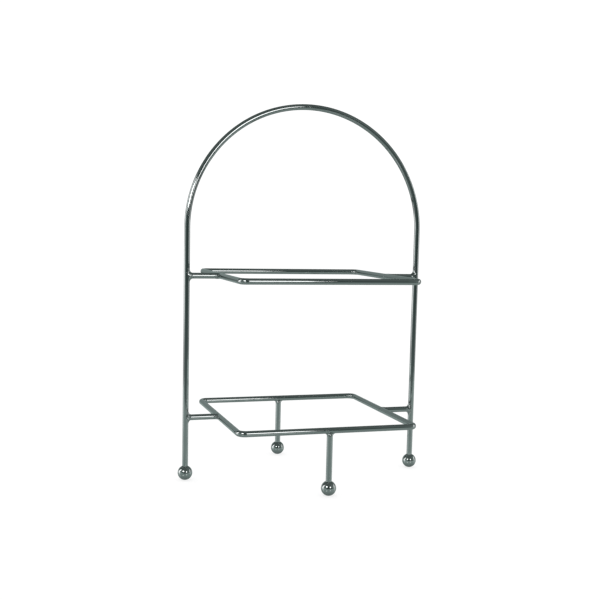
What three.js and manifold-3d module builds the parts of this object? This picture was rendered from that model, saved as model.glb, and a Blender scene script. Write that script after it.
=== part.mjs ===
// A tiered cake stand of bent round rod: an arched hoop that is also the carrying handle, square
// frames that hold the plates, short arms that join them, and ball feet.
// Millimetres, +Z up. X runs across the hoop from foot to foot, Y from front (-) to back (+).
// The origin is on the table, under the middle of the stand.
import * as THREE from "three";
import { mergeVertices } from "three/addons/utils/BufferGeometryUtils.js";
import Module from "manifold-3d";

// ---- driving dimensions
const ROD = 6; // diameter of every rod
const HOOP_HALF = 125; // from the middle to the axis of a hoop leg, and the arch's radius
const ARCH_Z = 258; // height of the arch's centre
const FRAME_HALF = 90.5; // from the middle to the axis of a frame's side
const BEND = 7; // bend radius of a frame's corners, on the rod's axis
const TIER_Z = { upper: 210, lower: 65 }; // height of each frame's rod axis
const BALL = 15; // diameter of a ball foot
const BALL_FLAT = 1.3; // radius of the small flat that a ball rests on
const SOCKET_FLOOR = 7.5; // height of the floor of the blind hole in a ball
const GAP = 0.3; // clearance between two pieces that meet
const BUTT = 2; // gap between the ends of a frame's rod, which the butt weld fills

// ---- how finely round shapes are faceted
const SIDES = 16;
const ARCH_STEPS = 44;
const BEND_STEPS = 5;
const BALL_SIDES = 20;
const BALL_STEPS = 8;

// ---- welds: slugs between the crossed rod and the end of an arm or leg, flared towards the crossed rod
const WELD_BACK = 1.2; // where a slug begins, from the crossed rod's axis
const WELD_END = 6.4; // where it meets the arm's or leg's end, from the same axis
const ARM_FLARE = 5.3; // its radius at the crossed rod, at an arm
const LEG_FLARE = 4.6; // the same, at a leg
const WELD_STEPS = 5;

const R = ROD / 2;
const FLATS = 1 / Math.cos(Math.PI / SIDES); // a polygon's corner radius over its flats' radius
const HALF_STEP = Math.PI / SIDES;
const X = new THREE.Vector3(1, 0, 0);
const Y = new THREE.Vector3(0, 1, 0);
const Z = new THREE.Vector3(0, 0, 1);

const polished = new THREE.MeshStandardMaterial({ color: 0x8f9a98, roughness: 0.07, metalness: 1 });
const ballFinish = new THREE.MeshStandardMaterial({ color: 0x949f9d, roughness: 0.04, metalness: 1 });
const weldFinish = new THREE.MeshStandardMaterial({ color: 0x858f8d, roughness: 0.18, metalness: 1 });

const wasm = await Module();
wasm.setup();

// ---- between three.js geometry and manifold-3d solids
function solidOf(geometry) {
  const plain = geometry.clone();
  plain.deleteAttribute("normal");
  plain.deleteAttribute("uv");
  const merged = mergeVertices(plain, 1e-4);
  return new wasm.Manifold(
    new wasm.Mesh({
      numProp: 3,
      vertProperties: merged.attributes.position.array,
      triVerts: new Uint32Array(merged.index.array),
    }),
  );
}

function geometryOf(solid) {
  const mesh = solid.getMesh();
  return new THREE.BufferGeometry()
    .setAttribute("position", new THREE.BufferAttribute(mesh.vertProperties, 3))
    .setIndex(new THREE.BufferAttribute(mesh.triVerts, 1));
}

// ---- rods
// A path of straights and bends. Each piece takes its own number of steps, so straights cost few faces.
class BentPath extends THREE.Curve {
  constructor(pieces) {
    super();
    this.pieces = pieces;
    this.steps = pieces.reduce((sum, piece) => sum + piece.steps, 0);
  }
  getPoint(t) {
    let at = t * this.steps;
    for (const { steps, pointAt } of this.pieces) {
      if (at <= steps) return pointAt(at / steps);
      at -= steps;
    }
    return this.pieces.at(-1).pointAt(1);
  }
  getUtoTmapping(u) {
    return u;
  }
}

function straight(from, to) {
  return { steps: 1, pointAt: (t) => new THREE.Vector3().lerpVectors(from, to, t) };
}

// A circular bend about centre, from centre + radius * along to centre + radius * across.
function bend(centre, along, across, radius, steps, sweep = Math.PI / 2) {
  return {
    steps,
    pointAt: (t) =>
      centre
        .clone()
        .addScaledVector(along, radius * Math.cos(sweep * t))
        .addScaledVector(across, radius * Math.sin(sweep * t)),
  };
}

function bentRod(pieces) {
  const path = new BentPath(pieces);
  const section = new THREE.Shape(
    Array.from({ length: SIDES }, (_, k) => {
      const angle = HALF_STEP * (2 * k + 1);
      return new THREE.Vector2(Math.cos(angle), Math.sin(angle)).multiplyScalar(R * FLATS);
    }),
  );
  return new THREE.ExtrudeGeometry(section, { steps: path.steps, extrudePath: path });
}

// A round bar along a unit direction, from distance start to distance end past base.
function bar(base, direction, start, end, radius = R) {
  const geometry = new THREE.CylinderGeometry(
    radius * FLATS,
    radius * FLATS,
    end - start,
    SIDES,
    1,
    false,
    HALF_STEP,
  );
  geometry.translate(0, (start + end) / 2, 0);
  return placed(geometry, base, direction);
}

// Turns a shape made along +Y to point along direction, and moves it to base.
function placed(geometry, base, direction) {
  geometry.applyQuaternion(new THREE.Quaternion().setFromUnitVectors(Y, direction));
  return geometry.translate(base.x, base.y, base.z);
}

// ---- pieces
function hoop() {
  const foot = SOCKET_FLOOR + GAP;
  const centre = new THREE.Vector3(0, 0, ARCH_Z);
  const left = (z) => new THREE.Vector3(-HOOP_HALF, 0, z);
  const right = (z) => new THREE.Vector3(HOOP_HALF, 0, z);
  return bentRod([
    straight(left(foot), left(ARCH_Z)),
    bend(centre, X.clone().negate(), Z, HOOP_HALF, ARCH_STEPS, Math.PI),
    straight(right(ARCH_Z), right(foot)),
  ]);
}

// A square frame, bent from one rod whose ends face each other in the middle of the +X side.
function frame(height) {
  const flat = FRAME_HALF - BEND;
  const at = (x, y) => new THREE.Vector3(x, y, height);
  const turns = [
    [1, 1, X, Y],
    [-1, 1, Y, X.clone().negate()],
    [-1, -1, X.clone().negate(), Y.clone().negate()],
    [1, -1, Y.clone().negate(), X],
  ];
  const sides = [
    [at(FRAME_HALF, BUTT / 2), at(FRAME_HALF, flat)],
    [at(flat, FRAME_HALF), at(-flat, FRAME_HALF)],
    [at(-FRAME_HALF, flat), at(-FRAME_HALF, -flat)],
    [at(-flat, -FRAME_HALF), at(flat, -FRAME_HALF)],
  ];
  const pieces = turns.flatMap(([sx, sy, along, across], i) => [
    straight(...sides[i]),
    bend(at(sx * flat, sy * flat), along, across, BEND, BEND_STEPS),
  ]);
  return bentRod([...pieces, straight(at(FRAME_HALF, -flat), at(FRAME_HALF, -BUTT / 2))]);
}

// The slug of weld metal between the ends of a frame's rod.
function buttWeld(height) {
  return bar(new THREE.Vector3(FRAME_HALF, 0, height), Y, GAP - BUTT / 2, BUTT / 2 - GAP);
}

// A short arm from a frame's side to a hoop leg.
function arm(side, height) {
  const inner = new THREE.Vector3(side * FRAME_HALF, 0, height);
  const clear = WELD_END + GAP;
  return bar(inner, X.clone().multiplyScalar(side), clear, HOOP_HALF - FRAME_HALF - clear);
}

// A leg under the middle of the lower frame's front or back side, down into its ball.
function leg(side) {
  const top = new THREE.Vector3(0, side * FRAME_HALF, TIER_Z.lower);
  return bar(top, Z.clone().negate(), WELD_END + GAP, TIER_Z.lower - SOCKET_FLOOR - GAP);
}

// The weld where an arm or leg leaves, along direction, the rod that runs along crossed through point.
function weld(point, direction, crossed, flare) {
  const profile = [new THREE.Vector2(0, WELD_BACK), new THREE.Vector2(flare, WELD_BACK)];
  for (let i = 0; i <= WELD_STEPS; i++) {
    const angle = (Math.PI / 2) * (i / WELD_STEPS);
    const radius = flare - (flare - R) * Math.sin(angle);
    profile.push(new THREE.Vector2(radius, WELD_END - (WELD_END - R) * Math.cos(angle)));
  }
  profile.push(new THREE.Vector2(0, WELD_END));
  const slug = placed(new THREE.LatheGeometry(profile, SIDES), point, direction);
  const across = new THREE.Vector3().crossVectors(crossed, direction);
  const slab = new THREE.BoxGeometry(4 * WELD_END, ROD, 4 * WELD_END);
  const solid = solidOf(slug)
    .intersect(solidOf(placed(slab, point, across)))
    .subtract(solidOf(bar(point, crossed, -ROD * 2, ROD * 2, R + GAP)));
  return geometryOf(solid);
}

// A ball foot with a small flat underneath and a blind hole for the rod's end.
function ball(x, y) {
  const radius = BALL / 2;
  const bottom = Math.asin(BALL_FLAT / radius);
  const hole = R + GAP;
  const mouth = Math.PI - Math.asin(hole / radius);
  const profile = [new THREE.Vector2(0, 0)];
  for (let i = 0; i <= BALL_STEPS; i++) {
    const angle = bottom + ((mouth - bottom) * i) / BALL_STEPS;
    const height = i ? radius - radius * Math.cos(angle) : 0;
    profile.push(new THREE.Vector2(radius * Math.sin(angle), height));
  }
  profile.push(new THREE.Vector2(hole * FLATS, SOCKET_FLOOR), new THREE.Vector2(0, SOCKET_FLOOR));
  const geometry = new THREE.LatheGeometry(profile, BALL_SIDES);
  return placed(geometry, new THREE.Vector3(x, y, 0), Z);
}

// ---- the stand
const stand = new THREE.Group();

function add(name, geometry, material) {
  const mesh = new THREE.Mesh(geometry, material);
  mesh.name = name;
  stand.add(mesh);
}

add("hoop", hoop(), polished);

for (const [tier, height] of Object.entries(TIER_Z)) {
  add(`${tier}_frame`, frame(height), polished);
  add(`${tier}_frame_butt_weld`, buttWeld(height), weldFinish);
  for (const [name, side] of [["left", -1], ["right", 1]]) {
    const outward = X.clone().multiplyScalar(side);
    const onFrame = new THREE.Vector3(side * FRAME_HALF, 0, height);
    const onHoop = new THREE.Vector3(side * HOOP_HALF, 0, height);
    add(`${tier}_${name}_arm`, arm(side, height), polished);
    add(`${tier}_${name}_frame_weld`, weld(onFrame, outward, Y, ARM_FLARE), weldFinish);
    add(`${tier}_${name}_hoop_weld`, weld(onHoop, outward.clone().negate(), Z, ARM_FLARE), weldFinish);
  }
}

for (const [name, side] of [["front", -1], ["back", 1]]) {
  const underFrame = new THREE.Vector3(0, side * FRAME_HALF, TIER_Z.lower);
  add(`${name}_leg`, leg(side), polished);
  add(`${name}_leg_weld`, weld(underFrame, Z.clone().negate(), X, LEG_FLARE), weldFinish);
  add(`${name}_ball_foot`, ball(0, side * FRAME_HALF), ballFinish);
}
add("left_ball_foot", ball(-HOOP_HALF, 0), ballFinish);
add("right_ball_foot", ball(HOOP_HALF, 0), ballFinish);

export default stand;
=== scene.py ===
"""A tiered cake stand of plated rod: smooth rods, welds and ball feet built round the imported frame."""

import math
from collections import namedtuple

import bmesh
import bpy
from bpy.props import FloatProperty, FloatVectorProperty, IntProperty, PointerProperty
from mathutils import Matrix, Vector, noise


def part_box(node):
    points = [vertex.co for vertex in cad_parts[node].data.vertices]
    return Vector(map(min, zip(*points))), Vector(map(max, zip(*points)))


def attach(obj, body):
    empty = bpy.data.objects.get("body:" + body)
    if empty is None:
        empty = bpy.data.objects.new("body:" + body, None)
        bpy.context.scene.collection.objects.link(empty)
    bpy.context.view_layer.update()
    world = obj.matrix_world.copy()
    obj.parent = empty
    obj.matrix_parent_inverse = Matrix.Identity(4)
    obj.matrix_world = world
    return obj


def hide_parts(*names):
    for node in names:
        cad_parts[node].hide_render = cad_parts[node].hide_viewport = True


bl_info = {
    "name": "Tiered Cake Stand",
    "version": (1, 0, 0),
    "blender": (4, 5, 0),
    "location": "View3D > Sidebar > Cake Stand",
    "description": "Builds a two-tier cake stand of plated rod, with its welds, ball feet and studio",
    "category": "Add Mesh",
}

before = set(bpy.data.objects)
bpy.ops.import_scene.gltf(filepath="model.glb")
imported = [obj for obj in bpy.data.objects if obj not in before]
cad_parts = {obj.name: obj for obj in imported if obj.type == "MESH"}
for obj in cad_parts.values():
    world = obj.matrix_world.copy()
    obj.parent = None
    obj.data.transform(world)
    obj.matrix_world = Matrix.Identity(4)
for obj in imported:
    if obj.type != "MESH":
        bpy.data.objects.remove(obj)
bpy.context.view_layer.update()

BODY = "root"
MM = 0.001
MICRON = 0.001 * MM
X = Vector((1, 0, 0))
Y = Vector((0, 1, 0))
Z = Vector((0, 0, 1))
TIERS = ("upper", "lower")
SIDES = {"left": -1, "right": 1}
ENDS = {"front": -1, "back": 1}
FEET = (*SIDES, *ENDS)


# ---- what the frame says


def middle(node):
    low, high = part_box(node)
    return (low + high) / 2


def extent(node):
    low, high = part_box(node)
    return high - low


def on_table(node):
    """The point of the table under the middle of a node."""
    return Vector((*middle(node).xy, 0))


ROD_RADIUS = extent("hoop").y / 2
HOOP_HALF = extent("hoop").x / 2 - ROD_RADIUS
ARCH_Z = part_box("hoop")[1].z - ROD_RADIUS - HOOP_HALF
FRAME_HALF = extent("lower_frame").x / 2 - ROD_RADIUS


# ---- sizes and colours that a user would change

LENGTH = {"unit": "LENGTH", "subtype": "DISTANCE", "precision": 5}
COLOUR = {"subtype": "COLOR", "size": 3, "min": 0, "max": 1}


class CakeStandSizes(bpy.types.PropertyGroup):
    rod_radius: FloatProperty(
        name="Rod Radius", description="Radius of every rod", default=ROD_RADIUS, **LENGTH
    )
    bend_radius: FloatProperty(
        name="Bend Radius",
        description="Radius of a frame's corners, on the rod's axis",
        default=7 * MM,
        **LENGTH,
    )
    bend_flattening: FloatProperty(
        name="Bend Flattening",
        description="How much a rod flattens where it is bent tightly, as a share of its radius",
        default=0.03,
        subtype="FACTOR",
    )
    ball_radius: FloatProperty(
        name="Ball Radius", description="Radius of a ball foot", default=7.5 * MM, **LENGTH
    )
    ball_flat: FloatProperty(
        name="Ball Flat", description="Radius of the worn flat under a ball", default=0.7 * MM, **LENGTH
    )
    mouth_width: FloatProperty(
        name="Mouth Width",
        description="Width of the countersunk mouth where a rod enters its ball",
        default=0.9 * MM,
        **LENGTH,
    )
    mouth_depth: FloatProperty(
        name="Mouth Depth", description="Depth of the same mouth", default=1.3 * MM, **LENGTH
    )
    weld_reach: FloatProperty(
        name="Weld Reach",
        description="How far an arm's weld spreads over the rod it is welded to, from the arm's axis",
        default=7.4 * MM,
        **LENGTH,
    )
    leg_weld_reach: FloatProperty(
        name="Leg Weld Reach", description="The same, for a leg's weld", default=5.8 * MM, **LENGTH
    )
    weld_wrap: FloatProperty(
        name="Weld Wrap",
        description="How far a weld spreads round the crossed rod, as a share of how far along it",
        default=0.68,
        subtype="FACTOR",
    )
    weld_length: FloatProperty(
        name="Weld Length",
        description="Where a weld runs out along its arm or leg, from the crossed rod's axis",
        default=6.4 * MM,
        **LENGTH,
    )
    weld_ripple: FloatProperty(
        name="Weld Ripple",
        description="Height of the ripples that a weld sets in",
        default=0.32 * MM,
        **LENGTH,
    )
    segments: IntProperty(
        name="Segments", description="Faces round a rod", default=48, min=12, max=96
    )


class CakeStandFinish(bpy.types.PropertyGroup):
    tint: FloatVectorProperty(
        name="Plating Tint", description="Colour of the plating", default=(0.470, 0.488, 0.484), **COLOUR
    )
    tint_cool: FloatVectorProperty(
        name="Second Tint",
        description="The colour that the plating drifts to in soft clouds",
        default=(0.430, 0.456, 0.452),
        **COLOUR,
    )
    haze: FloatVectorProperty(
        name="Haze",
        description="Colour of the film that handling leaves",
        default=(0.41, 0.425, 0.42),
        **COLOUR,
    )
    pit: FloatVectorProperty(
        name="Pits",
        description="Colour of tiny pits in the plating",
        default=(0.06, 0.07, 0.066),
        **COLOUR,
    )
    roughness: FloatProperty(
        name="Roughness", description="Roughness of the cleanest plating", default=0.04, subtype="FACTOR"
    )
    smudge: FloatProperty(
        name="Smudges", description="Roughness that handling marks add", default=0.07, subtype="FACTOR"
    )


class CakeStandStudio(bpy.types.PropertyGroup):
    camera_place: FloatVectorProperty(
        name="Camera Place",
        description="Where the camera stands",
        default=(-0.3187, -0.9972, 0.2676),
        subtype="TRANSLATION",
        size=3,
    )
    camera_yaw: FloatProperty(
        name="Camera Yaw",
        description="How far the camera turns from straight back towards +X",
        default=math.radians(17.866),
        subtype="ANGLE",
    )
    camera_pitch: FloatProperty(
        name="Camera Pitch",
        description="How far it looks down",
        default=math.radians(6.507),
        subtype="ANGLE",
    )
    camera_roll: FloatProperty(
        name="Camera Roll", description="How far it leans", default=math.radians(1.311), subtype="ANGLE"
    )
    camera_lens: FloatProperty(
        name="Camera Lens", description="Focal length in millimetres", default=60.185, unit="CAMERA"
    )
    camera_shift: FloatVectorProperty(
        name="Camera Shift",
        description="How far the view is shifted sideways and up, as shares of its width",
        default=(-0.0106, 0.0585),
        size=2,
    )
    background: FloatProperty(
        name="Background", description="Brightness of the plain studio", default=1.08, min=0
    )


# ---- mesh tools

# A round section of a rod: its middle, the way out of the bend that it is in, and how much it is flattened.
Section = namedtuple("Section", "place outward strain")
STRAIGHT_STEP = 8 * MM  # between a rod's sections
SHORT_STEP = 4 * MM  # between an arm's or a leg's sections
WIDENING = 0.6  # of a flattened rod, as a share of its flattening


def turned(first, second, angle):
    """The way that lies at an angle from first towards second."""
    return first * math.cos(angle) + second * math.sin(angle)


def angles(count):
    return [math.tau * k / count for k in range(count)]


def straight(start, end, outward, step):
    """Sections along a straight, without the one at its end."""
    count = max(1, round((end - start).length / step))
    return [Section(start.lerp(end, i / count), outward, 0.0) for i in range(count)]


def bend(centre, along, across, radius, steps, sweep=math.pi / 2, strain=0.0):
    """Sections round a bend about centre, from along towards across, which flattens the rod by strain."""
    sections = []
    for i in range(steps):
        outward = turned(along, across, sweep * i / steps)
        eased = strain * math.sin(math.pi * i / steps) ** 0.5
        sections.append(Section(centre + outward * radius, outward, eased))
    return sections


def mesh_piece(name, rings, closed=False):
    """A mesh of rings of vertices, which closes on itself or has a flat end at its first and last rings."""
    mesh = bmesh.new()
    made = [[mesh.verts.new(point) for point in ring] for ring in rings]
    count = len(made[0])
    pairs = list(zip(made, made[1:]))
    if closed:
        pairs.append((made[-1], made[0]))
    for lower, upper in pairs:
        for k in range(count):
            following = (k + 1) % count
            mesh.faces.new((lower[k], lower[following], upper[following], upper[k]))
    if not closed:
        for ring in (made[0], made[-1]):
            tip = mesh.verts.new(sum((vertex.co for vertex in ring), Vector()) / count)
            for k in range(count):
                mesh.faces.new((ring[k], ring[(k + 1) % count], tip))
    bmesh.ops.recalc_face_normals(mesh, faces=mesh.faces)
    data = bpy.data.meshes.new(name)
    mesh.to_mesh(data)
    mesh.free()
    data.shade_smooth()
    piece = bpy.data.objects.new(name, data)
    bpy.context.scene.collection.objects.link(piece)
    return piece


def vertex_values(piece, name, kind, field, values):
    """Stores values on a piece's vertices, and 0 on the ones at the middles of its ends."""
    attribute = piece.data.attributes.new(name, kind, "POINT")
    size = 3 if kind == "FLOAT_VECTOR" else 1
    spare = len(piece.data.vertices) * size - len(values)
    attribute.data.foreach_set(field, values + [0.0] * spare)


def rod(name, path, side, sizes, closed=False):
    """A round rod along a path. side is the way at right angles to the path's plane.

    Its vertices know where they are along the rod and round it, and how much it is flattened there.
    """
    radius = sizes.rod_radius
    around = angles(sizes.segments)
    rings = []
    lengthwise = []
    bending = []
    travelled = 0.0
    last = path[0].place
    for place, outward, strain in path:
        travelled += (place - last).length
        last = place
        deep = outward * (radius * (1 - strain))
        wide = side * (radius * (1 + strain * WIDENING))
        rings.append([place + turned(deep, wide, angle) for angle in around])
        for angle in around:
            lengthwise += [travelled, radius * math.cos(angle), radius * math.sin(angle)]
            bending.append(strain)
    piece = mesh_piece(name, rings, closed)
    vertex_values(piece, "lengthwise", "FLOAT_VECTOR", "vector", lengthwise)
    vertex_values(piece, "bending", "FLOAT", "value", bending)
    return piece


# ---- materials

# The Mix node has inputs of the same name for numbers, vectors and colours. These are its colours.
MIX_FIRST = 6
MIX_SECOND = 7
MIX_RESULT = 2


class Socket:
    """A node's output, on which arithmetic adds Math nodes."""

    def __init__(self, finish, socket):
        self.finish = finish
        self.socket = socket

    def math(self, operation, *values):
        return self.finish.add("ShaderNodeMath", {"operation": operation}, dict(enumerate(values)))

    def __add__(self, other):
        return self.math("ADD", self, other)

    def __sub__(self, other):
        return self.math("SUBTRACT", self, other)

    def __rsub__(self, other):
        return self.math("SUBTRACT", other, self)

    def __mul__(self, other):
        return self.math("MULTIPLY", self, other)

    def __abs__(self):
        return self.math("ABSOLUTE", self)

    __radd__ = __add__
    __rmul__ = __mul__


def rgba(colour):
    return colour if isinstance(colour, Socket) else (*colour, 1)


class Finish:
    """A material whose nodes are added one by one."""

    def __init__(self, name):
        self.material = bpy.data.materials.new(name)
        self.material.use_nodes = True
        self.tree = self.material.node_tree
        self.tree.nodes.clear()

    def node(self, kind, settings=None, values=None):
        """A new node, whose settings are set before its sockets get their values or links."""
        node = self.tree.nodes.new(kind)
        for key, value in (settings or {}).items():
            setattr(node, key, value)
        for key, value in (values or {}).items():
            if isinstance(value, Socket):
                self.tree.links.new(value.socket, node.inputs[key])
            else:
                node.inputs[key].default_value = value
        return node

    def add(self, kind, settings=None, values=None, output=0):
        """One output of a new node."""
        return Socket(self, self.node(kind, settings, values).outputs[output])

    def place(self):
        return self.add("ShaderNodeTexCoord", output="Object")

    def parts(self, vector):
        """The X, Y and Z of a vector."""
        node = self.node("ShaderNodeSeparateXYZ", values={"Vector": vector})
        return [Socket(self, output) for output in node.outputs]

    def noise(self, vector, scale, detail=2, roughness=0.5):
        values = {"Vector": vector, "Scale": scale, "Detail": detail, "Roughness": roughness}
        return self.add("ShaderNodeTexNoise", values=values)

    def remap(self, value, low, high):
        """0 where value is below low and 1 above high, with eased ends."""
        values = {"Value": value, "From Min": low, "From Max": high}
        return self.add("ShaderNodeMapRange", {"interpolation_type": "SMOOTHSTEP"}, values)

    def mix(self, share, first, second):
        """The first colour, with a share of the second."""
        values = {"Factor": share, MIX_FIRST: rgba(first), MIX_SECOND: rgba(second)}
        return self.add("ShaderNodeMix", {"data_type": "RGBA"}, values, MIX_RESULT)

    def bump(self, height, depth, normal=None):
        values = {"Height": height, "Strength": 1.0, "Distance": depth}
        if normal is not None:
            values["Normal"] = normal
        return self.add("ShaderNodeBump", values=values)

    def metal(self, colour, roughness, normal):
        values = {"Base Color": colour, "Metallic": 1.0, "Roughness": roughness, "Normal": normal}
        return self.surface(self.add("ShaderNodeBsdfPrincipled", values=values))

    def glow(self, colour, strength=1.0, roughness=1.0, gloss=0.0):
        """A black surface that shines by itself, with as much gloss on it as is asked for."""
        values = {
            "Base Color": (0, 0, 0, 1),
            "Roughness": roughness,
            "Specular IOR Level": gloss,
            "Emission Color": colour,
            "Emission Strength": strength,
        }
        return self.add("ShaderNodeBsdfPrincipled", values=values)

    def blend(self, share, first, second):
        """The first shader, with a share of the second."""
        return self.add("ShaderNodeMixShader", values={0: share, 1: first, 2: second})

    def surface(self, shader):
        self.node("ShaderNodeOutputMaterial", values={"Surface": shader})
        return self.material


# How many of each marking there are in a metre of plating.
CLOUDS = 38
MARKS = 210
SPECKS = 2600
SKIN_WAVES = 95
WRINKLES = 430
DIMPLES = 520
WELD_PITS = 760
WELD_WAVES = 640
DRAWN_LINES = (60, 5200, 5200)  # along a rod, and across it two ways

# How deep the ones that can be felt are.
SKIN_DEPTH = 16 * MICRON
LINE_DEPTH = 0.6 * MICRON
WRINKLE_DEPTH = 70 * MICRON
DIMPLE_DEPTH = 22 * MICRON
WELD_WAVE_DEPTH = 30 * MICRON
WELD_SPECK_DEPTH = 4 * MICRON

MARK_WEIGHT = 0.45  # of small marks against broad clouds, where handling shows
FILM_SHARE = 0.35  # how much of the haze's colour a handling mark has
SPECK_SHARE = 0.18  # how much of the pits' colour a speck has
PIT_SHARE = 0.8  # how much of it a pit in a weld has
LINE_SHARE = 0.3  # how rough the drawn lines are, as a share of a handling mark
WELD_DULLNESS = 3.4  # a weld's roughness over a rod's


def plating(finish, place, pits, roughness, settings):
    """Colour and roughness of bright plating: its tint drifts, handling marks it, and its tops are worn."""
    clouds = finish.noise(place, CLOUDS, detail=3)
    marks = finish.noise(place, MARKS, detail=4, roughness=0.62)
    handled = clouds * (1 - MARK_WEIGHT) + marks * MARK_WEIGHT
    smudge = finish.remap(handled, low=0.46, high=0.66)
    colour = finish.mix(clouds, settings.tint_cool, settings.tint)
    colour = finish.mix(smudge * FILM_SHARE, colour, settings.haze)
    colour = finish.mix(pits, colour, settings.pit)
    upward = finish.parts(finish.add("ShaderNodeNewGeometry", output="Normal"))[2]
    worn = finish.remap(upward, low=0.55, high=1.0) * marks
    return colour, roughness + smudge * settings.smudge + worn * settings.smudge


def bright_plating(finish, place, settings):
    """Colour, roughness and skin of plating over smooth metal, with a few specks in it."""
    specks = finish.remap(finish.noise(place, SPECKS, detail=1), low=0.70, high=0.78)
    colour, roughness = plating(finish, place, specks * SPECK_SHARE, settings.roughness, settings)
    return colour, roughness, finish.bump(finish.noise(place, SKIN_WAVES), SKIN_DEPTH)


def plated_rod(settings):
    """Drawn rod, plated: fine lines along it, and wrinkles where it is bent tightly."""
    finish = Finish("plated_rod")
    place = finish.place()
    colour, roughness, normal = bright_plating(finish, place, settings)
    along = finish.add("ShaderNodeAttribute", {"attribute_name": "lengthwise"}, output="Vector")
    drawn = finish.add("ShaderNodeVectorMath", {"operation": "MULTIPLY"}, {0: along, 1: DRAWN_LINES})
    lines = finish.noise(drawn, 1)
    flattened = finish.add("ShaderNodeAttribute", {"attribute_name": "bending"}, output="Fac")
    wrinkles = finish.noise(place, WRINKLES) * finish.remap(flattened, low=0.004, high=0.026)
    normal = finish.bump(lines, LINE_DEPTH, normal)
    normal = finish.bump(wrinkles, WRINKLE_DEPTH, normal)
    return finish.metal(colour, roughness + lines * (LINE_SHARE * settings.smudge), normal)


def plated_ball(settings):
    """A turned ball, plated: smooth, with faint dimples from tumbling."""
    finish = Finish("plated_ball")
    place = finish.place()
    colour, roughness, normal = bright_plating(finish, place, settings)
    normal = finish.bump(finish.noise(place, DIMPLES, detail=1), DIMPLE_DEPTH, normal)
    return finish.metal(colour, roughness, normal)


def plated_weld(settings):
    """Plating over a weld: duller, pitted, and uneven in fine waves and specks."""
    finish = Finish("plated_weld")
    place = finish.place()
    pits = finish.remap(finish.noise(place, WELD_PITS), low=0.56, high=0.66)
    dullness = settings.roughness * WELD_DULLNESS
    colour, roughness = plating(finish, place, pits * PIT_SHARE, dullness, settings)
    normal = finish.bump(finish.noise(place, WELD_WAVES), WELD_WAVE_DEPTH)
    normal = finish.bump(finish.noise(place, SPECKS, detail=1), WELD_SPECK_DEPTH, normal)
    return finish.metal(colour, roughness, normal)


MATERIALS = {"polished_rod": plated_rod, "polished_ball": plated_ball, "weld_metal": plated_weld}


def finish_piece(piece, slot, *nodes):
    """Gives a piece its slot's material, which the slot's first piece makes, and its place in the frame."""
    make = MATERIALS[slot]
    material = bpy.data.materials.get(make.__name__) or make(bpy.context.scene.cake_stand_finish)
    piece.data.materials.append(material)
    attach(piece, BODY)
    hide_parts(*nodes)


# ---- rods

ARCH_STEPS = 120
BEND_STEPS = 20
ROOT = 1.5 * MM  # where an arm or leg begins inside the rod it is welded to, from that rod's axis


class CAKESTAND_OT_hoop(bpy.types.Operator):
    """Build the hoop, one rod bent over into an arch, which is also the handle"""

    bl_idname = "cakestand.hoop"
    bl_label = "Hoop"

    def execute(self, context):
        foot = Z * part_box("hoop")[0].z
        spring = Z * ARCH_Z
        left = X * -HOOP_HALF
        right = X * HOOP_HALF
        path = straight(left + foot, left + spring, -X, STRAIGHT_STEP)
        path += bend(spring, -X, Z, HOOP_HALF, ARCH_STEPS, math.pi)
        path += straight(right + spring, right + foot, X, STRAIGHT_STEP)
        path.append(Section(right + foot, X, 0.0))
        piece = rod("hoop_rod", path, Y, context.scene.cake_stand_sizes)
        finish_piece(piece, "polished_rod", "hoop")
        return {"FINISHED"}


class CAKESTAND_OT_frames(bpy.types.Operator):
    """Build the two square frames that hold the plates"""

    bl_idname = "cakestand.frames"
    bl_label = "Frames"

    def execute(self, context):
        sizes = context.scene.cake_stand_sizes
        for tier in TIERS:
            path = frame_path(middle(f"{tier}_frame").z, sizes)
            piece = rod(f"{tier}_frame_rod", path, Z, sizes, closed=True)
            finish_piece(piece, "polished_rod", f"{tier}_frame")
        return {"FINISHED"}


def frame_path(height, sizes):
    """Sections round a square with bent corners, from the middle of its right side and back to it."""
    radius = sizes.bend_radius
    flat = FRAME_HALF - radius
    level = Z * height
    outward = X
    path = straight(X * FRAME_HALF + level, X * FRAME_HALF + Y * flat + level, outward, STRAIGHT_STEP)
    for length in (2 * flat, 2 * flat, 2 * flat, flat):
        across = Z.cross(outward)
        centre = (outward + across) * flat + level
        path += bend(centre, outward, across, radius, BEND_STEPS, strain=sizes.bend_flattening)
        start = centre + across * radius
        path += straight(start, start - outward * length, across, STRAIGHT_STEP)
        outward = across
    return path


def short_rod(name, start, end, outward, sizes, node):
    """An arm or a leg: a straight rod."""
    path = straight(start, end, outward, SHORT_STEP)
    path.append(Section(end, outward, 0.0))
    side = (end - start).normalized().cross(outward)
    finish_piece(rod(name, path, side, sizes), "polished_rod", node)


class CAKESTAND_OT_arms(bpy.types.Operator):
    """Build the four arms that hold the frames in the hoop"""

    bl_idname = "cakestand.arms"
    bl_label = "Arms"

    def execute(self, context):
        sizes = context.scene.cake_stand_sizes
        for tier in TIERS:
            level = Z * middle(f"{tier}_frame").z
            for name, side in SIDES.items():
                start = X * (side * (FRAME_HALF + ROOT)) + level
                end = X * (side * (HOOP_HALF - ROOT)) + level
                short_rod(f"{tier}_{name}_arm_rod", start, end, Z, sizes, f"{tier}_{name}_arm")
        return {"FINISHED"}


class CAKESTAND_OT_legs(bpy.types.Operator):
    """Build the front and back legs under the lower frame"""

    bl_idname = "cakestand.legs"
    bl_label = "Legs"

    def execute(self, context):
        sizes = context.scene.cake_stand_sizes
        for name, side in ENDS.items():
            under = Y * (side * FRAME_HALF)
            top = under + Z * (middle("lower_frame").z - ROOT)
            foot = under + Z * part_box(f"{name}_leg")[0].z
            short_rod(f"{name}_leg_rod", top, foot, Y * side, sizes, f"{name}_leg")
        return {"FINISHED"}


# ---- welds

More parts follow.
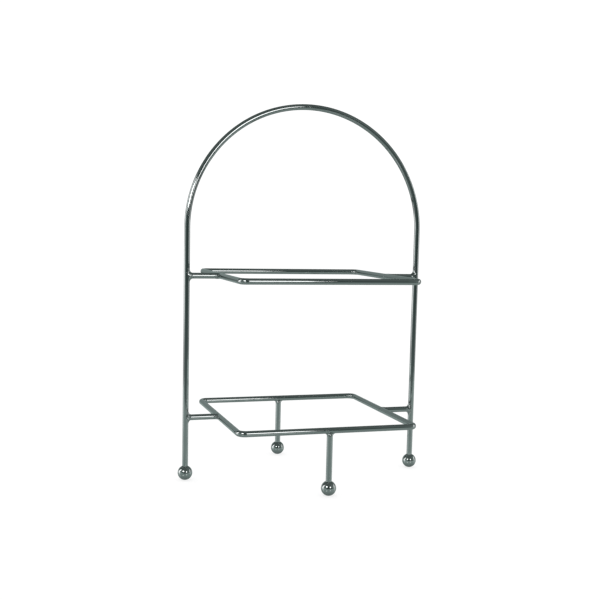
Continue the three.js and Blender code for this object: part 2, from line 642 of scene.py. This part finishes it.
WELD_TURNS = 64  # faces round an arm or leg
WELD_STEPS = 14  # faces from the crossed rod to the arm or leg
WELD_SINK = 0.03 * MM  # how far a weld's edges lie under a rod's skin
TOE_PULL = 0.8  # how long a weld keeps to the crossed rod before it rises from it
END_PULL = 0.5  # the same, along the arm or leg
CORE = 0.5  # radius of a weld's inside, as a share of the rod's
RIPPLES = 330  # in a metre of weld
FINE_RIPPLES = 1200
FINE_SHARE = 0.2  # height of a fine ripple, as a share of a ripple's
SEAM_HALF = 1.5 * MM
SEAM_PROUD = 0.1 * MM
SEAM_SINK = 0.02 * MM
SEAM_STEPS = 8


class Weld:
    """A fillet of weld metal where an arm or leg leaves, along direction, a rod that runs along crossed."""

    def __init__(self, place, direction, crossed, reach, sizes):
        self.place = place
        self.direction = direction
        self.crossed = crossed
        self.across = direction.cross(crossed)
        self.reach = reach
        self.sizes = sizes

    def skin(self, turn, share):
        """A point of the skin at a turn round the arm, from the crossed rod (share 0) to the arm (1)."""
        radius = self.sizes.rod_radius
        buried = radius - WELD_SINK
        wrap = self.reach * self.sizes.weld_wrap * math.sin(turn) / radius
        toe = self.crossed * (self.reach * math.cos(turn))
        toe += turned(self.direction, self.across, wrap) * buried
        end = self.direction * self.sizes.weld_length + turned(self.crossed, self.across, turn) * buried
        round_rod = self.direction * math.sin(wrap) - self.across * math.cos(wrap)
        inward = turned(-self.crossed, round_rod, turn)  # over the crossed rod's skin, towards the arm
        near = toe + inward * ((self.reach - radius) * TOE_PULL)
        far = end - self.direction * ((self.sizes.weld_length - radius) * END_PULL)
        keep = 1 - share
        curve = toe * keep**3 + near * (3 * keep**2 * share)
        curve += far * (3 * keep * share**2) + end * share**3
        return self.place + curve

    def section(self, turn):
        """Rippled skin from the crossed rod to the arm, and then the two corners of the inside."""
        sizes = self.sizes
        root = self.place + self.direction * sizes.rod_radius
        points = []
        for i in range(WELD_STEPS + 1):
            share = i / WELD_STEPS
            point = self.skin(turn, share)
            height = noise.noise(point * RIPPLES) + FINE_SHARE * noise.noise(point * FINE_RIPPLES)
            height *= sizes.weld_ripple * math.sin(math.pi * share)
            points.append(point + (point - root).normalized() * height)
        core = sizes.rod_radius * CORE
        inside = self.place + turned(self.crossed, self.across, turn) * core
        points.append(inside + self.direction * sizes.weld_length)
        points.append(inside + self.direction * core)
        return points

    def build(self, name, node):
        piece = mesh_piece(name, [self.section(turn) for turn in angles(WELD_TURNS)], closed=True)
        finish_piece(piece, "weld_metal", node)


def seam(name, place, sizes, node):
    """The dressed butt weld that closes a frame: a low band round its rod."""
    rings = []
    for angle in angles(sizes.segments):
        spoke = turned(X, Z, angle)
        ring = []
        for i in range(SEAM_STEPS + 1):
            along = 2 * i / SEAM_STEPS - 1
            height = sizes.rod_radius - SEAM_SINK + SEAM_PROUD * (1 - along**2)
            ring.append(place + Y * (SEAM_HALF * along) + spoke * height)
        core = place + spoke * (sizes.rod_radius * CORE)
        rings.append([*ring, core + Y * SEAM_HALF, core - Y * SEAM_HALF])
    finish_piece(mesh_piece(name, rings, closed=True), "weld_metal", node)


class CAKESTAND_OT_welds(bpy.types.Operator):
    """Build the welds round the ends of the arms and legs, and the seams that close the frames"""

    bl_idname = "cakestand.welds"
    bl_label = "Welds"

    def execute(self, context):
        sizes = context.scene.cake_stand_sizes
        reach = sizes.weld_reach
        for tier in TIERS:
            level = Z * middle(f"{tier}_frame").z
            for name, side in SIDES.items():
                stem = f"{tier}_{name}"
                inner = Weld(X * (side * FRAME_HALF) + level, X * side, Y, reach, sizes)
                inner.build(f"{stem}_frame_bead", f"{stem}_frame_weld")
                outer = Weld(X * (side * HOOP_HALF) + level, X * -side, Z, reach, sizes)
                outer.build(f"{stem}_hoop_bead", f"{stem}_hoop_weld")
            seam(f"{tier}_frame_seam", X * FRAME_HALF + level, sizes, f"{tier}_frame_butt_weld")
        level = Z * middle("lower_frame").z
        for name, side in ENDS.items():
            top = Weld(Y * (side * FRAME_HALF) + level, -Z, X, sizes.leg_weld_reach, sizes)
            top.build(f"{name}_leg_bead", f"{name}_leg_weld")
        return {"FINISHED"}


# ---- ball feet

BALL_TURNS = 64
BALL_STEPS = 40
FLAT_RING = 0.5  # radius of the one ring of points inside the flat, as a share of the flat's
MOUTH_STEPS = 6
MOUTH_CURVE = 0.7  # below 1 the mouth's wall is steep at its rim
MOUTH_OVERLAP = 1.04  # so that the mouth ends inside the rod


def ball_profile(sizes):
    """Radius and height, from the flat under a ball to the bottom of the mouth where its rod enters."""
    ball = sizes.ball_radius
    rim = sizes.rod_radius + sizes.mouth_width
    bottom = math.asin(sizes.ball_flat / ball)
    top = math.pi - math.asin(rim / ball)
    profile = [(sizes.ball_flat * FLAT_RING, 0.0), (sizes.ball_flat, 0.0)]
    for i in range(1, BALL_STEPS + 1):
        angle = bottom + (top - bottom) * i / BALL_STEPS
        profile.append((ball * math.sin(angle), ball - ball * math.cos(angle)))
    crown = profile[-1][1]
    for i in range(1, MOUTH_STEPS + 1):
        share = i / MOUTH_STEPS
        radius = rim - sizes.mouth_width * MOUTH_OVERLAP * share
        profile.append((radius, crown - sizes.mouth_depth * share**MOUTH_CURVE))
    return profile


class CAKESTAND_OT_feet(bpy.types.Operator):
    """Build the four ball feet"""

    bl_idname = "cakestand.feet"
    bl_label = "Ball Feet"

    def execute(self, context):
        spokes = [turned(X, Y, angle) for angle in angles(BALL_TURNS)]
        for name in FEET:
            node = f"{name}_ball_foot"
            place = on_table(node)
            rings = []
            for radius, height in ball_profile(context.scene.cake_stand_sizes):
                rings.append([place + Z * height + spoke * radius for spoke in spokes])
            finish_piece(mesh_piece(f"{name}_ball", rings), "polished_ball", node)
        return {"FINISHED"}


# ---- the studio

CLIP_START = 10 * MM
CLIP_END = 50
PAPER = 0.95  # how much light the floor gives back
FLOOR_GLOW = 1.06  # strength of the light of its own that keeps it as pale as the background
FLOOR_GLOW_SHARE = 0.72  # how much of the floor's look that light is
FLOOR_HALF = 20
ROOM_RADIUS = 6
ROOM_AHEAD = (0.047, 0.070, 0.065)
TABLE_CORNERS = ((-0.70, -0.45, 0), (0.75, -0.45, 0), (0.75, 0.90, 0), (-0.70, 0.90, 0))
TABLE_DARK = (0.26, 0.325, 0.31)
TABLE_LIGHT = (0.34, 0.40, 0.385)
TABLE_BACK = (0.17, 0.215, 0.205)
# Painted shadow: the colour that darkens the table's glow close round each ball foot.
FOOT_SHADOW = (0.08, 0.105, 0.10)
FOOT_SHADOW_SHARE = 0.55  # how much of that painted shadow colour the table has right at a foot
TABLE_ROUGHNESS = 0.12

# A lit upright panel: its middle, its size, its strength, the share of its width over which its rim
# fades, and how far its top leans sideways.
Panel = namedtuple("Panel", "place width height strength soft lean", defaults=(0.0,))
PANELS = {
    "right_lamp": Panel((0.185, -1.13, 0.50), width=0.34, height=0.46, strength=3.6, soft=0.10),
    "left_lamp": Panel((-0.640, -0.635, 0.50), width=0.40, height=0.24, strength=6.5, soft=0.12),
    "left_window": Panel((-1.20, 0.35, 0.50), width=0.46, height=1.20, strength=2.5, soft=0.15, lean=0.50),
    "left_screen": Panel((-1.25, 0.20, 0.00), width=0.60, height=0.60, strength=1.2, soft=0.25),
    "left_backdrop": Panel((-1.10, 0.95, 0.10), width=1.10, height=0.90, strength=0.75, soft=0.40),
    "right_window": Panel((1.20, -0.09, 0.48), width=0.42, height=0.86, strength=1.9, soft=0.20, lean=0.75),
    "right_screen": Panel((1.25, -0.22, 0.10), width=0.55, height=0.80, strength=0.9, soft=0.35),
    "right_backdrop": Panel((1.15, 0.45, 0.10), width=0.90, height=0.80, strength=0.50, soft=0.40),
}


class CAKESTAND_OT_studio(bpy.types.Operator):
    """Set up the floor, the light and the camera"""

    bl_idname = "cakestand.studio"
    bl_label = "Studio"

    def execute(self, context):
        studio = context.scene.cake_stand_studio
        place_camera(studio)
        plain_world(studio)
        make_floor()
        make_room()
        make_table(studio)
        for name, panel in PANELS.items():
            make_panel(name, panel)
        return {"FINISHED"}


def place_camera(studio):
    level_ahead = turned(Y, X, studio.camera_yaw)
    forward = turned(level_ahead, -Z, studio.camera_pitch)
    level = turned(X, -Y, studio.camera_yaw)
    right = turned(level, level.cross(forward), studio.camera_roll)
    data = bpy.data.cameras.new("camera")
    data.lens = studio.camera_lens
    data.shift_x, data.shift_y = studio.camera_shift
    data.clip_start = CLIP_START
    data.clip_end = CLIP_END
    camera = bpy.data.objects.new("camera", data)
    turn = Matrix((right, right.cross(forward), -forward)).transposed()
    camera.matrix_world = Matrix.Translation(Vector(studio.camera_place)) @ turn.to_4x4()
    bpy.context.scene.collection.objects.link(camera)
    bpy.context.scene.camera = camera


def plain_world(studio):
    """A white background, which also lights the stand softly from all sides."""
    world = bpy.data.worlds.new("studio")
    world.use_nodes = True
    background = world.node_tree.nodes["Background"]
    background.inputs["Color"].default_value = (1, 1, 1, 1)
    background.inputs["Strength"].default_value = studio.background
    bpy.context.scene.world = world
    bpy.context.scene.view_settings.view_transform = "Standard"


def stage_piece(name, mesh, material):
    """A piece of the studio, which is no part of the stand."""
    data = bpy.data.meshes.new(name)
    mesh.to_mesh(data)
    mesh.free()
    data.materials.append(material)
    piece = bpy.data.objects.new(name, data)
    bpy.context.scene.collection.objects.link(piece)
    return piece


def only_reflected(piece):
    """Polished metal shows the piece, and it neither lights nor shades anything else."""
    piece.visible_camera = False
    piece.visible_diffuse = False
    piece.visible_transmission = False
    piece.visible_volume_scatter = False
    piece.visible_shadow = False


def make_floor():
    """A plain pale floor. Polished metal shows the table in its place."""
    finish = Finish("floor")
    paper = finish.add("ShaderNodeBsdfDiffuse", values={"Color": (PAPER, PAPER, PAPER, 1)})
    light = finish.add("ShaderNodeEmission", values={"Color": (1, 1, 1, 1), "Strength": FLOOR_GLOW})
    mesh = bmesh.new()
    bmesh.ops.create_grid(mesh, x_segments=1, y_segments=1, size=FLOOR_HALF)
    floor = stage_piece("floor", mesh, finish.surface(finish.blend(FLOOR_GLOW_SHARE, paper, light)))
    floor.visible_glossy = False


def make_room():
    """The dim room that polished metal mirrors: dark ahead of the stand, and lighter all round."""
    finish = Finish("room")
    place = finish.place()
    x, y, z = finish.parts(place)
    backward = finish.remap(y, low=-1.5, high=4.0)
    upward = finish.remap(z, low=-0.2, high=3.6)
    clouds = finish.remap(finish.noise(place, 0.35), low=0.35, high=0.70)
    side_wall = finish.remap(abs(x), low=3.2, high=5.6)
    ceiling = finish.remap(z, low=1.6, high=4.6)
    right_front = finish.remap(x, low=1.6, high=3.4) * (1 - finish.remap(y, low=-2.5, high=-0.5))
    right_front = right_front * finish.remap(z, low=0.2, high=1.6)
    back_wall = finish.remap(y, low=4.0, high=5.5) * (1 - finish.remap(z, low=2.0, high=4.0))
    ground = 1 - finish.remap(z, low=-0.90, high=-0.05)
    patches = (
        (backward * (1 - upward), (0.17, 0.215, 0.205)),
        (clouds * 0.3, (0.11, 0.145, 0.14)),
        (side_wall, (0.24, 0.30, 0.29)),
        (ceiling * 0.85, (0.135, 0.165, 0.158)),
        (right_front, (0.205, 0.25, 0.24)),
        (back_wall, (0.27, 0.325, 0.315)),
        (ground, (0.12, 0.155, 0.15)),
    )
    colour = ROOM_AHEAD
    for share, patch in patches:
        colour = finish.mix(share, colour, patch)
    mesh = bmesh.new()
    bmesh.ops.create_icosphere(mesh, subdivisions=4, radius=ROOM_RADIUS)
    only_reflected(stage_piece("room", mesh, finish.surface(finish.glow(colour))))


def make_table(studio):
    """The glowing table that polished metal mirrors, darker towards its back, with a painted shadow close
    round each foot.
    """
    finish = Finish("table")
    place = finish.place()
    grain = finish.remap(finish.noise(place, 9, detail=4), low=0.35, high=0.65)
    backward = finish.remap(finish.parts(place)[1], low=0.05, high=0.60)
    colour = finish.mix(grain, TABLE_DARK, TABLE_LIGHT)
    colour = finish.mix(backward * 0.5, colour, TABLE_BACK)
    # Painted shadow: the table's glow is darkened close round each foot, where a ball would shade it.
    for name in FEET:
        ends = {0: place, 1: on_table(f"{name}_ball_foot")}
        gap = finish.add("ShaderNodeVectorMath", {"operation": "DISTANCE"}, ends, output="Value")
        under = 1 - finish.remap(gap, low=2 * MM, high=14 * MM)
        colour = finish.mix(under * FOOT_SHADOW_SHARE, colour, FOOT_SHADOW)
    turn = Matrix.Rotation(-studio.camera_yaw, 3, "Z")
    mesh = bmesh.new()
    mesh.faces.new([mesh.verts.new(turn @ Vector(corner)) for corner in TABLE_CORNERS])
    shine = finish.glow(colour, roughness=TABLE_ROUGHNESS, gloss=1.0)
    only_reflected(stage_piece("table", mesh, finish.surface(shine)))


def make_panel(name, panel):
    """A lit panel that faces the stand, where polished metal mirrors it."""
    centre = Vector(panel.place)
    side = Z.cross(Vector((*centre.xy, 0)).normalized())
    mesh = bmesh.new()
    layer = mesh.loops.layers.uv.new("UVMap")
    shares = ((0, 0), (1, 0), (1, 1), (0, 1))
    corners = []
    for across, upward in shares:
        sideways = panel.width * (across - 0.5) + panel.lean * (upward - 0.5)
        corner = centre + side * sideways + Z * (panel.height * (upward - 0.5))
        corners.append(mesh.verts.new(corner))
    for loop, share in zip(mesh.faces.new(corners).loops, shares):
        loop[layer].uv = share
    only_reflected(stage_piece(name, mesh, lit(name, panel)))


def lit(name, panel):
    """A panel's light, which fades out towards its rim."""
    finish = Finish(name)
    across, upward, _ = finish.parts(finish.add("ShaderNodeTexCoord", output="UV"))
    from_side = 0.5 - abs(across - 0.5)
    from_end = 0.5 - abs(upward - 0.5)
    rim = finish.remap(from_side, 0.0, panel.soft) * finish.remap(from_end, 0.0, panel.soft)
    glow = finish.glow(finish.mix(rim, (0, 0, 0), (1, 1, 1)), panel.strength)
    return finish.surface(finish.blend(rim, finish.add("ShaderNodeBsdfTransparent"), glow))


# ---- panel and registration


class CAKESTAND_PT_panel(bpy.types.Panel):
    """Lists the pieces of the stand"""

    bl_idname = "CAKESTAND_PT_panel"
    bl_label = "Cake Stand"
    bl_space_type = "VIEW_3D"
    bl_region_type = "UI"
    bl_category = "Cake Stand"

    def draw(self, context):
        for operator in OPERATORS:
            self.layout.operator(operator.bl_idname)


GROUPS = {
    "cake_stand_sizes": CakeStandSizes,
    "cake_stand_finish": CakeStandFinish,
    "cake_stand_studio": CakeStandStudio,
}
OPERATORS = (
    CAKESTAND_OT_hoop,
    CAKESTAND_OT_frames,
    CAKESTAND_OT_arms,
    CAKESTAND_OT_legs,
    CAKESTAND_OT_welds,
    CAKESTAND_OT_feet,
    CAKESTAND_OT_studio,
)
CLASSES = (*GROUPS.values(), *OPERATORS, CAKESTAND_PT_panel)


def register():
    for group in CLASSES:
        bpy.utils.register_class(group)
    for name, group in GROUPS.items():
        setattr(bpy.types.Scene, name, PointerProperty(type=group))


def unregister():
    for name in GROUPS:
        delattr(bpy.types.Scene, name)
    for group in reversed(CLASSES):
        bpy.utils.unregister_class(group)


def main():
    register()
    for operator in OPERATORS:
        area, name = operator.bl_idname.split(".")
        getattr(getattr(bpy.ops, area), name)()


if __name__ == "__main__":
    main()
